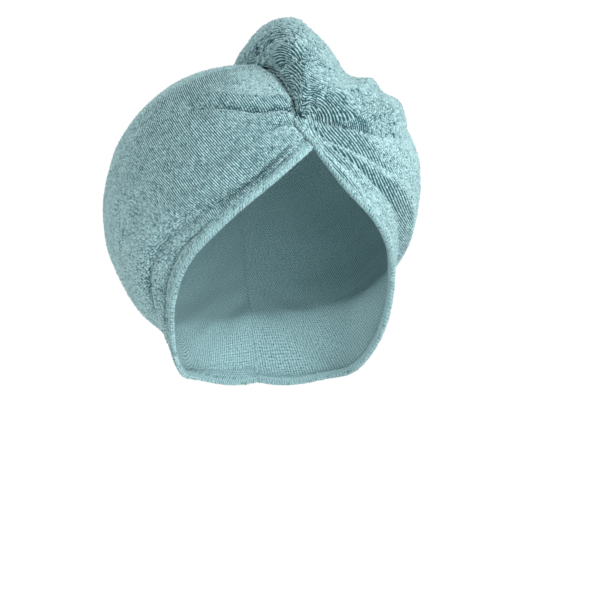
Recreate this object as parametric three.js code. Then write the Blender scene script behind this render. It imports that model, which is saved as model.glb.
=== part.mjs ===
import * as THREE from 'three';

// A twisted terry hair wrap, worn: a hood of two panels, its turned hems round the face opening,
// the gathered tail twisted back over the crown, and the loop at the nape that holds the tail.
// Millimetres, +Z up, -Y to the front. The origin is under the crown, where the head bears on it.

// The hood, measured from its centre to its outer face
const hoodReachLeft = 104.5;
const hoodReachRight = 103.5;
const hoodReachFront = 112;
const hoodReachBack = 110;
const hoodRiseLeft = 100;
const hoodRiseRight = 71;
const hoodFallLeft = 109;
const hoodFallRight = 93;
const hoodRoundnessLeft = 2.02;
const hoodRoundnessRight = 2.25;
const hoodLean = 0.09;
const hoodOffsetX = -4.9;
const hoodOffsetY = 14;

// The head-shaped line that the hem grips, below the crown
const gripHalfWidth = 76;
const gripHalfDepth = 98;
const gripHalfHeight = 100;
const gripDrop = 126;
const gripRoundness = 2.3;
const gripEase = 34;

// Cloth, seams and folds
const clothWall = 3;
const seamGap = 0.6;
const pieceGap = 0.5;
const foldDepth = 3.2;
const foldWidth = 8;
const lapRise = 2.5;
const lapWidth = 14;
const lapLength = 19;
const lapFullPitch = 40;
const lapEndPitch = 85;

// The turned hem
const hemWidth = 6;
const hemThickness = 1.7;

// The twisted tail
const ropeHeight = 33;
const ropePeak = 25;
const ropeSpread = 70;
const shoulderHeight = 5;
const tailEdge = 0.8;
const tailEdgeRound = 8;
const pleatDepth = 2.6;
const pleatWidth = 5;

// The loop at the nape
const loopWidth = 8;
const loopThickness = 2;

const cloth = { color: 0x93b2b7, roughness: 0.95, metalness: 0 };
const elastic = { color: 0x6f9298, roughness: 0.85, metalness: 0 };

// The hem from the peak of the face opening down to the nape: the bearing from the front, in degrees
// to the right, and the height above the grip's centre as a share of its half-height.
const leftHemLine = [
  { bearing: 11, height: 0.71 },
  { bearing: -7, height: 0.5 },
  { bearing: -25, height: 0.25 },
  { bearing: -44, height: 0 },
  { bearing: -58, height: -0.25 },
  { bearing: -72, height: -0.51 },
  { bearing: -100, height: -0.7 },
  { bearing: -140, height: -0.77 },
  { bearing: -180, height: -0.79 },
];
const rightHemLine = [
  { bearing: 11, height: 0.71 },
  { bearing: 20, height: 0.5 },
  { bearing: 27, height: 0.38 },
  { bearing: 37, height: 0.26 },
  { bearing: 48, height: 0.13 },
  { bearing: 58, height: 0.01 },
  { bearing: 67, height: -0.18 },
  { bearing: 80, height: -0.46 },
  { bearing: 105, height: -0.69 },
  { bearing: 140, height: -0.77 },
  { bearing: 180, height: -0.79 },
];

// The seam where the panels meet, from the peak over the crown to the nape, in degrees
const seamLine = [
  { tilt: 11.4, pitch: 18.8 },
  { tilt: 4.6, pitch: 25 },
  { tilt: 5.4, pitch: 29.5 },
  { tilt: 4, pitch: 40 },
  { tilt: 2, pitch: 60 },
  { tilt: 0, pitch: 90 },
  { tilt: 0, pitch: 120 },
  { tilt: 0, pitch: 160 },
  { tilt: 1, pitch: 200 },
  { tilt: 2, pitch: 246 },
];

// Folds fan out from the knot. Each runs between two shares of the panel's length; high and low are
// its places between hem and seam at those ends, and bend is how fast it drops from high to low.
// Depth is a share of foldDepth, minus for a groove, and width a share of foldWidth.
const leftFolds = [
  { from: 0.075, to: 0.46, high: 0.83, low: 0.44, bend: 5, width: 0.5, depth: -1 },
  { from: 0.075, to: 0.46, high: 0.93, low: 0.5, bend: 3.6, width: 1, depth: 0.7 },
  { from: 0.05, to: 0.5, high: 0.7, low: 0.2, bend: 2.9, width: 0.9, depth: -0.6 },
  { from: 0.04, to: 0.4, high: 0.62, low: 0.15, bend: 3.2, width: 1.2, depth: 0.4 },
  { from: 0.045, to: 0.66, high: 0.55, low: 0.085, bend: 10, width: 0.5, depth: -0.5 },
  { from: 0.3, to: 0.66, high: 0.085, low: 0.065, bend: 1, width: 0.6, depth: 0.6 },
  { from: 0.32, to: 0.64, high: 0.045, low: 0.03, bend: 1, width: 0.4, depth: -0.5 },
];
const rightFolds = [
  { from: 0.12, to: 0.42, high: 0.42, low: 0.17, bend: 2.6, width: 0.7, depth: -0.8 },
  { from: 0.13, to: 0.44, high: 0.36, low: 0.14, bend: 2.6, width: 0.8, depth: 0.5 },
  { from: 0.2, to: 0.46, high: 0.26, low: 0.095, bend: 2.8, width: 0.7, depth: -0.7 },
];

// Sections of the tail from the knot to the nape. Its left and right edges are directions from the
// hood's centre, in degrees; peak, spread, height and shoulder are shares of the sizes of those names.
const tailSections = [
  { left: [5.2, 28], right: [7.5, 26.5], peak: 0.1, spread: 0.14, height: 0.08, shoulder: 0.3 },
  { left: [5, 33], right: [11, 26.5], peak: 0.33, spread: 0.45, height: 0.22, shoulder: 0.6 },
  { left: [4.2, 41], right: [16, 25], peak: 0.52, spread: 0.72, height: 0.38, shoulder: 0.7 },
  { left: [2.5, 51], right: [23, 23.5], peak: 0.7, spread: 0.92, height: 0.54, shoulder: 0.7 },
  { left: [1, 64], right: [32, 23.5], peak: 0.88, spread: 1, height: 0.74, shoulder: 0.7 },
  { left: [-1.5, 79], right: [43, 31], peak: 0.98, spread: 1.02, height: 0.94, shoulder: 0.9 },
  { left: [-3.5, 93], right: [54, 45], peak: 1, spread: 1.02, height: 1, shoulder: 0.9 },
  { left: [-6, 108], right: [59, 66], peak: 0.97, spread: 0.95, height: 0.94, shoulder: 0.8 },
  { left: [-8, 125], right: [53, 95], peak: 0.92, spread: 0.8, height: 0.84, shoulder: 0.8 },
  { left: [-9.5, 145], right: [38, 128], peak: 0.88, spread: 0.64, height: 0.74, shoulder: 0.7 },
  { left: [-10, 165], right: [24, 158], peak: 0.82, spread: 0.48, height: 0.66, shoulder: 0.6 },
  { left: [-10, 187], right: [15, 186], peak: 0.76, spread: 0.36, height: 0.56, shoulder: 0.5 },
  { left: [-9, 208], right: [10, 208], peak: 0.6, spread: 0.27, height: 0.44, shoulder: 0.5 },
  { left: [-7, 226], right: [7, 226], peak: 0.45, spread: 0.2, height: 0.28, shoulder: 0.5 },
];
// Long ridges down the tail's shoulder: from and to count its sections, high and low are places across
// it from left (0) to right (1)
const shoulderFolds = [
  { from: 2, to: 9, high: 0.82, low: 0.7, bend: 1, width: 0.7, depth: 0.7 },
  { from: 2, to: 8.5, high: 0.95, low: 0.82, bend: 1, width: 0.6, depth: -0.6 },
];
// Pleats of the twist: at counts the sections down its left edge, slant is how many sections a pleat
// moves on across the tail, and reach how far across it runs; width and depth are shares of the pleat's
const tailPleats = [
  { at: 2.95, slant: 1.9, reach: 0.45, width: 0.8, depth: 0.9 },
  { at: 4.15, slant: 0.6, reach: 0.3, width: 0.7, depth: 0.9 },
  { at: 4.85, slant: 2.4, reach: 0.5, width: 1, depth: 1.3 },
  { at: 5.7, slant: 1.6, reach: 0.7, width: 1, depth: 1 },
  { at: 6.6, slant: 1.2, reach: 0.9, width: 1.1, depth: 1 },
  { at: 7.5, slant: 1, reach: 1.4, width: 1, depth: 0.9 },
  { at: 8.4, slant: 0.9, reach: 1.4, width: 1.1, depth: 1 },
  { at: 9.3, slant: 0.8, reach: 1.4, width: 1, depth: 0.9 },
  { at: 10.2, slant: 0.7, reach: 1.4, width: 1, depth: 0.9 },
  { at: 11.1, slant: 0.6, reach: 1.4, width: 0.9, depth: 0.8 },
  { at: 12, slant: 0.5, reach: 1.4, width: 0.8, depth: 0.6 },
];

// The strap crosses the tail at this pitch, and reaches this far to each side, in degrees
const loopPitch = 219;
const loopTilt = 16;

// How finely each skin is cut
const panelStations = 40;
const panelSteps = 18;
const tailStations = 52;
const tailSteps = 17;
const hemSteps = 3;
const loopSteps = 26;
const knotTip = 0.016;
const napeTip = 0.005;
const cutBunching = 1.3;

const hoodCentre = new THREE.Vector3(
  hoodOffsetX,
  hoodOffsetY,
  clothWall - (hoodRiseLeft + hoodRiseRight) / 2,
);
const gripCentre = new THREE.Vector3(0, 0, -gripDrop);

const lerp = THREE.MathUtils.lerp;
const clamp = THREE.MathUtils.clamp;
const smooth = (share) => THREE.MathUtils.smoothstep(share, 0, 1);

// A number between the rows of a table, on a smooth curve through them; at counts the rows
function readTable(rows, at, column) {
  const last = rows.length - 1;
  const k = clamp(Math.floor(at), 0, last - 1);
  const slope = (i) => {
    const a = Math.max(i - 1, 0);
    const b = Math.min(i + 1, last);
    return (rows[b][column] - rows[a][column]) / (b - a);
  };
  const f = clamp(at - k, 0, 1);
  const rise = f * f * (3 - 2 * f);
  const bend = f * (1 - f) * ((1 - f) * slope(k) - f * slope(k + 1));
  return lerp(rows[k][column], rows[k + 1][column], rise) + bend;
}

// A direction by its tilt to the right and its pitch up from the front and over to the back
function direction(tilt, pitch) {
  const a = THREE.MathUtils.degToRad(tilt);
  const b = THREE.MathUtils.degToRad(pitch);
  return new THREE.Vector3(Math.sin(a), -Math.cos(a) * Math.cos(b), Math.cos(a) * Math.sin(b));
}

function smoothCurve(points) {
  const curve = new THREE.CatmullRomCurve3(points, false, 'catmullrom', 0.5);
  curve.arcLengthDivisions = 400;
  return curve;
}

// A hem point lies on the gripped head shape, at a bearing and a height
function hemPoint({ bearing, height }) {
  const a = THREE.MathUtils.degToRad(bearing);
  const level = 1 - Math.abs(height) ** gripRoundness;
  const across = Math.abs(Math.sin(a) / gripHalfWidth) ** gripRoundness;
  const along = Math.abs(Math.cos(a) / gripHalfDepth) ** gripRoundness;
  const radius = (level / (across + along)) ** (1 / gripRoundness);
  return new THREE.Vector3(
    gripCentre.x + radius * Math.sin(a),
    gripCentre.y - radius * Math.cos(a),
    gripCentre.z + height * gripHalfHeight,
  );
}

const seenFromHood = (point) => point.sub(hoodCentre).normalize();
const leftHem = smoothCurve(leftHemLine.map(hemPoint).map(seenFromHood));
const rightHem = smoothCurve(rightHemLine.map(hemPoint).map(seenFromHood));
const seam = smoothCurve(seamLine.map(({ tilt, pitch }) => direction(tilt, pitch)));
const tailLeft = smoothCurve(tailSections.map(({ left }) => direction(...left)));
const tailRight = smoothCurve(tailSections.map(({ right }) => direction(...right)));

// Angles are turned into lengths over the hood at its mean reach
const meanReach = (hoodReachLeft + hoodReachRight + hoodReachFront + hoodReachBack) / 4;
const hemDirections = [leftHem, rightHem].flatMap((hem) =>
  hem.getSpacedPoints(160).map((point) => point.normalize()),
);
const seamDirections = seam.getSpacedPoints(160).map((point) => point.normalize());

// The length over the hood from a direction to the nearest of some others
function distanceTo(directions, d) {
  const nearest = directions.reduce((best, other) => Math.max(best, d.dot(other)), -1);
  return Math.acos(clamp(nearest, -1, 1)) * meanReach;
}

// From the hood's centre to its full outer face, in a direction
function hoodRadius(d) {
  const side = (1 + d.x) / 2;
  const reachX = d.x < 0 ? hoodReachLeft : hoodReachRight;
  const reachY = d.y < 0 ? hoodReachFront : hoodReachBack;
  const z = d.z - hoodLean * d.x;
  const reachZ = z > 0 ? lerp(hoodRiseLeft, hoodRiseRight, side) : lerp(hoodFallLeft, hoodFallRight, side);
  const roundness = lerp(hoodRoundnessLeft, hoodRoundnessRight, side);
  const sum =
    Math.abs(d.x / reachX) ** roundness +
    Math.abs(d.y / reachY) ** roundness +
    Math.abs(z / reachZ) ** roundness;
  return sum ** (-1 / roundness);
}

// From the hood's centre to the gripped head shape, in a direction
function gripRadius(d) {
  const inside = (radius) => {
    const p = d.clone().multiplyScalar(radius).add(hoodCentre).sub(gripCentre);
    const sum =
      Math.abs(p.x / gripHalfWidth) ** gripRoundness +
      Math.abs(p.y / gripHalfDepth) ** gripRoundness +
      Math.abs(p.z / gripHalfHeight) ** gripRoundness;
    return sum < 1;
  };
  let near = 0;
  let far = 3 * gripHalfHeight;
  for (let k = 0; k < 40; k += 1) {
    const middle = (near + far) / 2;
    if (inside(middle)) near = middle;
    else far = middle;
  }
  return near;
}

// The direction between two others, at a share of the turn from one to the other
function turned(from, to, share) {
  const angle = Math.max(from.angleTo(to), 1e-6);
  const d = from.clone().multiplyScalar(Math.sin((1 - share) * angle));
  return d.addScaledVector(to, Math.sin(share * angle)).normalize();
}

// The hood's outer face before its folds: at the hems it lies on the head, then it eases out to the full form
function plainRadius(d) {
  const atHem = gripRadius(d) + clothWall;
  return lerp(atHem, hoodRadius(d), smooth(distanceTo(hemDirections, d) / gripEase));
}

// What a table of folds adds at s; across is the place they are measured over, span its width
function foldHeight(folds, s, across, span) {
  let height = 0;
  for (const fold of folds) {
    const run = (s - fold.from) / (fold.to - fold.from);
    const shown = smooth(run / 0.45) * smooth((1 - run) / 0.45);
    const line = lerp(fold.low, fold.high, (1 - clamp(run, 0, 1)) ** fold.bend);
    const width = foldWidth * fold.width * (0.5 + 0.5 * smooth(run / 0.6));
    const away = Math.abs(((across - line) * span) / width);
    height += foldDepth * fold.depth * shown * Math.exp(-(away ** 1.5));
  }
  return height;
}

// The raised edge where the right panel laps over the left one, above the face opening
function lapHeight(d) {
  const pitch = THREE.MathUtils.radToDeg(Math.atan2(d.z, -d.y));
  const forward = smooth((lapEndPitch - Math.abs(pitch)) / (lapEndPitch - lapFullPitch));
  return lapRise * forward * smooth(1 - distanceTo(seamDirections, d) / lapWidth);
}

// The right panel starts at the knot: the seam's first stretch, down to the peak, is part of its hem
const knotShare = lapLength / (seam.getLength() * meanReach);
const hemFromPeak = knotShare * seam.getLength() / (knotShare * seam.getLength() + rightHem.getLength());
function rightHemAt(s) {
  if (s < hemFromPeak) return seam.getPointAt(knotShare * (1 - s / hemFromPeak)).normalize();
  return rightHem.getPointAt((s - hemFromPeak) / (1 - hemFromPeak)).normalize();
}

const leftPanel = {
  hemAt: (s) => leftHem.getPointAt(s).normalize(),
  seamAt: (s) => seam.getPointAt(s).normalize(),
  folds: leftFolds,
  lap: () => 0,
};
const rightPanel = {
  hemAt: rightHemAt,
  seamAt: (s) => seam.getPointAt(lerp(knotShare, 1, s)).normalize(),
  folds: rightFolds,
  lap: lapHeight,
};

// A place on a panel: s runs along its hem down to the nape, and t from hem (0) to seam (1)
function panelPlace(panel, s, t) {
  const atHem = panel.hemAt(s);
  const atSeam = panel.seamAt(s);
  const span = atHem.angleTo(atSeam) * meanReach;
  const d = turned(atHem, atSeam, t);
  const shown = smooth((t * span) / hemWidth - 1) * smooth(((1 - t) * span) / hemWidth);
  const folds = foldHeight(panel.folds, s, t, span) * shown;
  return { d, span, radius: plainRadius(d) + folds + panel.lap(d) };
}

function pointAt(d, radius) {
  return d.clone().multiplyScalar(radius).add(hoodCentre);
}

// One closed skin through sections that each have an outer row of points and an inner row
function closedSkin(sections) {
  const rings = sections.map(({ outer, inner }) => [...outer, ...inner.toReversed()]);
  const around = rings[0].length;
  const half = around / 2;
  const faces = [];
  const quad = (a, b, c, d) => faces.push(a, b, c, a, c, d);
  for (let i = 0; i < rings.length - 1; i += 1) {
    for (let j = 0; j < around; j += 1) {
      const next = (j + 1) % around;
      quad(i * around + j, (i + 1) * around + j, (i + 1) * around + next, i * around + next);
    }
  }
  const lastRing = (rings.length - 1) * around;
  for (let j = 0; j < half - 1; j += 1) {
    const across = around - 1 - j;
    quad(j, j + 1, across - 1, across);
    quad(lastRing + j, lastRing + across, lastRing + across - 1, lastRing + j + 1);
  }
  const points = rings.flat();
  if (volume(points, faces) < 0) faces.reverse();
  const geometry = new THREE.BufferGeometry().setFromPoints(points);
  geometry.setIndex(faces);
  geometry.computeVertexNormals();
  return geometry;
}

function volume(points, faces) {
  let sum = 0;
  for (let k = 0; k < faces.length; k += 3) {
    const [a, b, c] = [points[faces[k]], points[faces[k + 1]], points[faces[k + 2]]];
    sum += a.dot(b.clone().cross(c));
  }
  return sum / 6;
}

const shares = (count) => Array.from({ length: count + 1 }, (_, k) => k / count);

// Where the skins of a panel and its hem are cut along s, closer together towards the knot, and how
// wide the hem is there as a share of t
const cuts = shares(panelStations).map((along) => lerp(knotTip, 1 - napeTip, along ** cutBunching));
const hemShare = (span) => Math.min(hemWidth, span * 0.8) / span;

// How far a panel stops short of an edge, along t, to leave half the gap square to that edge
function edgeShare(edgeAt, from, to, s, span) {
  const step = 0.002;
  const along = edgeAt(Math.min(s + step, 1)).sub(edgeAt(Math.max(s - step, 0)));
  const sideways = from.clone().cross(along).normalize();
  const inward = to.clone().addScaledVector(from, -to.dot(from)).normalize();
  return seamGap / 2 / Math.max(Math.abs(inward.dot(sideways)), 0.3) / span;
}

// One side of the hood, from its hem to the seam over the crown
function panelSkin(panel) {
  const sections = cuts.map((s) => {
    const { span } = panelPlace(panel, s, 0);
    const [atHem, atSeam] = [panel.hemAt(s), panel.seamAt(s)];
    const first = edgeShare(panel.hemAt, atHem, atSeam, s, span);
    const last = 1 - edgeShare(panel.seamAt, atSeam, atHem, s, span);
    const past = shares(panelSteps).map((k) => lerp(Math.min(hemShare(span), last * 0.9), last, k));
    const row = [first, ...past].map((t) => panelPlace(panel, s, t));
    return {
      outer: row.map(({ d, radius }) => pointAt(d, radius)),
      inner: row.map(({ d, radius }) => pointAt(d, radius - clothWall)),
    };
  });
  return closedSkin(sections);
}

// The edge of a panel turned back over itself, rounded along both sides
function hemSkin(panel) {
  const sections = cuts.map((s) => {
    const { span } = panelPlace(panel, s, 0);
    const first = edgeShare(panel.hemAt, panel.hemAt(s), panel.seamAt(s), s, span);
    const row = shares(hemSteps).map((k) => {
      const { d, radius } = panelPlace(panel, s, lerp(first, hemShare(span), k));
      const seat = radius + pieceGap;
      const thickness = hemThickness * (0.55 + 0.45 * Math.sin(Math.PI * k));
      return { outer: pointAt(d, seat + thickness), inner: pointAt(d, seat) };
    });
    return { outer: row.map(({ outer }) => outer), inner: row.map(({ inner }) => inner) };
  });
  return closedSkin(sections);
}

const lastSection = tailSections.length - 1;
const sectionLength = (tailLeft.getLength() * meanReach) / lastSection;

// The tail's height over the hood: u counts its sections, across runs from its left edge to its right
function tailHeight(u, across, total) {
  const row = (column) => readTable(tailSections, u, column);
  const x = across * total;
  const peak = ropePeak * row('peak');
  const spread = ropeSpread * row('spread');
  const up = clamp((peak - x) / peak, 0, 1);
  const down = clamp((x - peak) / spread, 0, 1);
  const rope = x < peak ? Math.sqrt(1 - up * up) : 0.5 + 0.5 * Math.cos(Math.PI * down);
  const toEdge = clamp((x - total + tailEdgeRound) / tailEdgeRound, 0, 1);
  const shoulder = smooth(x / peak) * Math.sqrt(1 - toEdge * toEdge);
  const high = ropeHeight * row('height') * rope;
  const wide = shoulderHeight * row('shoulder') * shoulder;
  const form = Math.cbrt(high ** 3 + wide ** 3);
  const folds = foldHeight(shoulderFolds, u, across, total) + pleatHeight(u, across);
  return tailEdge + form + folds * smooth(form / (2 * foldDepth));
}

function pleatHeight(u, across) {
  let height = 0;
  for (const pleat of tailPleats) {
    const along = (u - pleat.at - pleat.slant * across) * sectionLength;
    const away = Math.abs(along) / (pleatWidth * pleat.width);
    const shown = smooth((pleat.reach - across) / (0.4 * pleat.reach));
    height -= pleatDepth * pleat.depth * shown * Math.exp(-(away ** 1.5));
  }
  return height;
}

// The tail lies on the hood, over the seam and on the right panel's shoulder
function tailSkin() {
  const sections = shares(tailStations).map((along) => {
    const left = tailLeft.getPoint(along).normalize();
    const right = tailRight.getPoint(along).normalize();
    const total = left.angleTo(right) * meanReach;
    const row = shares(tailSteps).map((k) => {
      const across = 0.5 - 0.5 * Math.cos(Math.PI * k);
      const d = turned(left, right, across);
      const seat = plainRadius(d) + lapHeight(d) + pieceGap;
      const height = tailHeight(along * lastSection, across, total);
      return { outer: pointAt(d, seat + height), inner: pointAt(d, seat) };
    });
    return { outer: row.map(({ outer }) => outer), inner: row.map(({ inner }) => inner) };
  });
  return closedSkin(sections);
}

// The strap at the nape lies on the panels and over the tail, wherever those reach out to
function loopSkin(supports) {
  const ray = new THREE.Raycaster();
  const reach = (d) => {
    ray.set(hoodCentre, d);
    return Math.max(...ray.intersectObjects(supports).map((hit) => hit.distance));
  };
  const half = THREE.MathUtils.radToDeg(loopWidth / meanReach / 2);
  const step = 1 / loopSteps;
  const rowAt = (k) => {
    const tilt = lerp(-loopTilt, loopTilt, k);
    return [-half, 0, half].map((off) => direction(tilt, loopPitch + off));
  };
  const sections = shares(loopSteps).map((k) => {
    const [first, , last] = rowAt(k);
    const ends = [first, last];
    const near = [k - step, k, k + step].flatMap(rowAt);
    const seat = Math.max(...near.map(reach)) + pieceGap;
    return {
      outer: ends.map((d) => pointAt(d, seat + loopThickness)),
      inner: ends.map((d) => pointAt(d, seat)),
    };
  });
  return closedSkin(sections);
}

const group = new THREE.Group();

function addPiece(name, geometry, look) {
  const mesh = new THREE.Mesh(geometry, new THREE.MeshStandardMaterial({ ...look, side: THREE.DoubleSide }));
  mesh.name = name;
  group.add(mesh);
  return mesh;
}

const underPanel = addPiece('under_panel', panelSkin(leftPanel), cloth);
const overPanel = addPiece('over_panel', panelSkin(rightPanel), cloth);
addPiece('under_panel_hem', hemSkin(leftPanel), cloth);
addPiece('over_panel_hem', hemSkin(rightPanel), cloth);
const tail = addPiece('twisted_tail', tailSkin(), cloth);
addPiece('nape_loop', loopSkin([underPanel, overPanel, tail]), elastic);

export default group;
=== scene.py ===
import bpy
import numpy as np
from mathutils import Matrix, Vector


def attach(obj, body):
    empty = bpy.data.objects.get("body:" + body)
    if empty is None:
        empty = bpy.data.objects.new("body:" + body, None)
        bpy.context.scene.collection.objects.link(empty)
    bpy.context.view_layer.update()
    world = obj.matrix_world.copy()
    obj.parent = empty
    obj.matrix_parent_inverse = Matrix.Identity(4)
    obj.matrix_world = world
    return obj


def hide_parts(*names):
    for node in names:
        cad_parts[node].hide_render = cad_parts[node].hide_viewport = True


# A terry hair wrap, worn: hood of two panels, turned hems, twisted tail, loop at the nape.
# Shapes are worked out in millimetres and degrees, then scaled to metres for the meshes.

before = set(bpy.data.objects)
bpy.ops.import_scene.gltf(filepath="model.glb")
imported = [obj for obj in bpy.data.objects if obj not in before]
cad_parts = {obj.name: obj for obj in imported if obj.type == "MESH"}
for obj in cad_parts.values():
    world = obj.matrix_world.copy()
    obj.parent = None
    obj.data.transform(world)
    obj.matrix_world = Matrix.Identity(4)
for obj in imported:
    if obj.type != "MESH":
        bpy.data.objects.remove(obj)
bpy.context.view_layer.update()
mm = 0.001
chance = np.random.default_rng(7)
lineReadings = 801  # places at which a curve's length is measured
edgeReadings = 161  # directions kept along each hem and seam
batch = 20000  # directions compared at a time
nudge = 1e-3  # the share between two places where a slope is measured

# the full form of the hood, from its centre to its outer face
hood = {
    "reachLeft": 104.5,
    "reachRight": 103.5,
    "reachFront": 112,
    "reachBack": 110,
    "riseLeft": 100,
    "riseRight": 71,
    "fallLeft": 109,
    "fallRight": 93,
    "roundLeft": 2.02,
    "roundRight": 2.25,
    "lean": 0.09,
    "offsetX": -4.9,
    "offsetY": 14,
    "wall": 3,
}

# the head shape that the hem grips
grip = {
    "halfWidth": 76,
    "halfDepth": 98,
    "halfHeight": 100,
    "drop": 126,
    "round": 2.3,
    "ease": 34,
    "farthest": 300,
    "halvings": 32,
}

# bearing from the front in degrees, and height as a share of the grip's half height
hemLines = {
    "left": [
        (11, 0.71),
        (-7, 0.5),
        (-25, 0.25),
        (-44, 0),
        (-58, -0.25),
        (-72, -0.51),
        (-100, -0.7),
        (-140, -0.77),
        (-180, -0.79),
    ],
    "right": [
        (11, 0.71),
        (20, 0.5),
        (27, 0.38),
        (37, 0.26),
        (48, 0.13),
        (58, 0.01),
        (67, -0.18),
        (80, -0.46),
        (105, -0.69),
        (140, -0.77),
        (180, -0.79),
    ],
}

# tilt to the right and pitch up from the front, from the peak over the crown to the nape
seamLine = [
    (11.4, 18.8),
    (4.6, 25),
    (5.4, 29.5),
    (4, 40),
    (2, 60),
    (0, 90),
    (0, 120),
    (0, 160),
    (1, 200),
    (2, 246),
]


def smoothStep(x):
    x = np.clip(x, 0, 1)
    return x * x * (3 - 2 * x)


def mix(a, b, share):
    return a + (b - a) * share


def unit(v):
    return v / np.linalg.norm(v, axis=-1, keepdims=True)


def direction(tilt, pitch):
    a, b = np.radians(tilt), np.radians(pitch)
    parts = np.broadcast_arrays(np.sin(a), -np.cos(a) * np.cos(b), np.cos(a) * np.sin(b))
    return np.stack(parts, -1)


def makeLine(points):  # a smooth curve through the points
    p = np.asarray(points, float)
    line = {"rows": len(p) - 1, "points": np.vstack([2 * p[0] - p[1], p, 2 * p[-1] - p[-2]])}
    line["ticks"] = np.linspace(0, 1, lineReadings)
    steps = np.linalg.norm(np.diff(byRow(line, line["ticks"]), axis=0), axis=1)
    line["run"] = np.r_[0, np.cumsum(steps)]
    line["length"] = line["run"][-1]
    return line


def byRow(line, share):  # read by a share of its rows
    x = np.asarray(share, float) * line["rows"]
    k = np.clip(x.astype(int), 0, line["rows"] - 1)
    f = (x - k)[..., None]
    a, b, c, d = (line["points"][k + i] for i in range(4))
    slopeB, slopeC = (c - a) / 2, (d - b) / 2
    cubic = (2 * b - 2 * c + slopeB + slopeC) * f**3
    square = (3 * c - 3 * b - 2 * slopeB - slopeC) * f**2
    return cubic + square + slopeB * f + b


def byLength(line, share):  # read by a share of its length
    return byRow(line, np.interp(share, line["run"] / line["length"], line["ticks"]))


hoodCentre = np.array(
    [hood["offsetX"], hood["offsetY"], hood["wall"] - (hood["riseLeft"] + hood["riseRight"]) / 2]
)
gripCentre = np.array([0, 0, -grip["drop"]])
gripSize = np.array([grip["halfWidth"], grip["halfDepth"], grip["halfHeight"]])
meanReach = (hood["reachLeft"] + hood["reachRight"] + hood["reachFront"] + hood["reachBack"]) / 4


def hemDirection(bearing, height):
    a = np.radians(bearing)
    power = grip["round"]
    level = 1 - abs(height) ** power
    around = abs(np.sin(a) / gripSize[0]) ** power + abs(np.cos(a) / gripSize[1]) ** power
    radius = (level / around) ** (1 / power)
    point = gripCentre + np.array([radius * np.sin(a), -radius * np.cos(a), height * gripSize[2]])
    return unit(point - hoodCentre)


hemLine = {side: makeLine([hemDirection(*row) for row in rows]) for side, rows in hemLines.items()}
seam = makeLine([direction(*row) for row in seamLine])
shares = np.linspace(0, 1, edgeReadings)
hemDirections = unit(np.vstack([byLength(line, shares) for line in hemLine.values()]))
seamDirections = unit(byLength(seam, shares))


def lengthTo(others, d):  # over the hood, from each direction to the nearest of the others
    flat = d.reshape(-1, 3)
    nearest = np.empty(len(flat))
    for i in range(0, len(flat), batch):
        nearest[i : i + batch] = (flat[i : i + batch] @ others.T).max(1)
    return (np.arccos(np.clip(nearest, -1, 1)) * meanReach).reshape(d.shape[:-1])


def hoodRadius(d):
    x, y = d[..., 0], d[..., 1]
    side = (1 + x) / 2
    z = d[..., 2] - hood["lean"] * x
    reachX = np.where(x < 0, hood["reachLeft"], hood["reachRight"])
    reachY = np.where(y < 0, hood["reachFront"], hood["reachBack"])
    rise = mix(hood["riseLeft"], hood["riseRight"], side)
    fall = mix(hood["fallLeft"], hood["fallRight"], side)
    power = mix(hood["roundLeft"], hood["roundRight"], side)
    total = np.abs(x / reachX) ** power + np.abs(y / reachY) ** power
    total += np.abs(z / np.where(z > 0, rise, fall)) ** power
    return total ** (-1 / power)


def gripRadius(d):
    near = np.zeros(d.shape[:-1])
    far = near + grip["farthest"]
    for _ in range(grip["halvings"]):
        middle = (near + far) / 2
        p = (d * middle[..., None] + hoodCentre - gripCentre) / gripSize
        inside = (np.abs(p) ** grip["round"]).sum(-1) < 1
        near = np.where(inside, middle, near)
        far = np.where(inside, far, middle)
    return near


def plainRadius(d):  # the outer face before folds: snug at the hems, then out to the full form
    ease = smoothStep(lengthTo(hemDirections, d) / grip["ease"])
    return mix(gripRadius(d) + hood["wall"], hoodRadius(d), ease)


def turned(start, end, share):
    angle = np.maximum(np.arccos(np.clip((start * end).sum(-1), -1, 1)), 1e-6)
    a = np.sin((1 - share) * angle)[..., None] * start
    return unit(a + np.sin(share * angle)[..., None] * end), angle * meanReach


def softNoise(u, v, seed, waves=14):  # a smooth random field, about -1 to 1, wavelength 1 in u and v
    rng = np.random.default_rng(seed)
    total = np.zeros(np.broadcast(u, v).shape)
    for _ in range(waves):
        heading = rng.uniform(0, np.pi)
        rate = rng.uniform(0.6, 1.6) * 2 * np.pi
        phase = rng.uniform(0, 2 * np.pi)
        total += np.sin(rate * (np.cos(heading) * u + np.sin(heading) * v) + phase)
    return total / np.sqrt(waves)


# the raised lip where the right panel laps over the left one above the face
lap = {"rise": 2.5, "width": 14, "length": 19, "fullPitch": 40, "endPitch": 85}


def lapHeight(d):
    pitch = np.degrees(np.arctan2(d[..., 2], -d[..., 1]))
    forward = smoothStep((lap["endPitch"] - np.abs(pitch)) / (lap["endPitch"] - lap["fullPitch"]))
    return lap["rise"] * forward * smoothStep(1 - lengthTo(seamDirections, d) / lap["width"])


# terry pile: one small leaning tuft for each loop, set in ribs
pile = {
    "ribPitch": 1.42,
    "loopPitch": 1.58,
    "width": 1.06,
    "length": 2.05,
    "height": 1.1,
    "uneven": 0.17,
    "lean": 0.09,
    "turn": 0.08,
    "lengths": (0.8, 1.2),
    "widths": (0.85, 1.15),
    "rises": (0.4, 1.6),
    "leanAlong": 0.3,
    "ridge": 0.5,
    "tones": 0.15,
    "sunk": 0.2,
    "deep": 1.1,  # the cloth under it lies this far inside the hood's measured face
}

# folds fan out from the knot: start and stop along the hem, then the place between hem (0) and seam (1)
# at the two ends, how fast it drops, width mm and rise mm. The ribs ring the panel's rib axis
foldColumns = ("start", "stop", "high", "low", "bend", "width", "depth")

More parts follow.
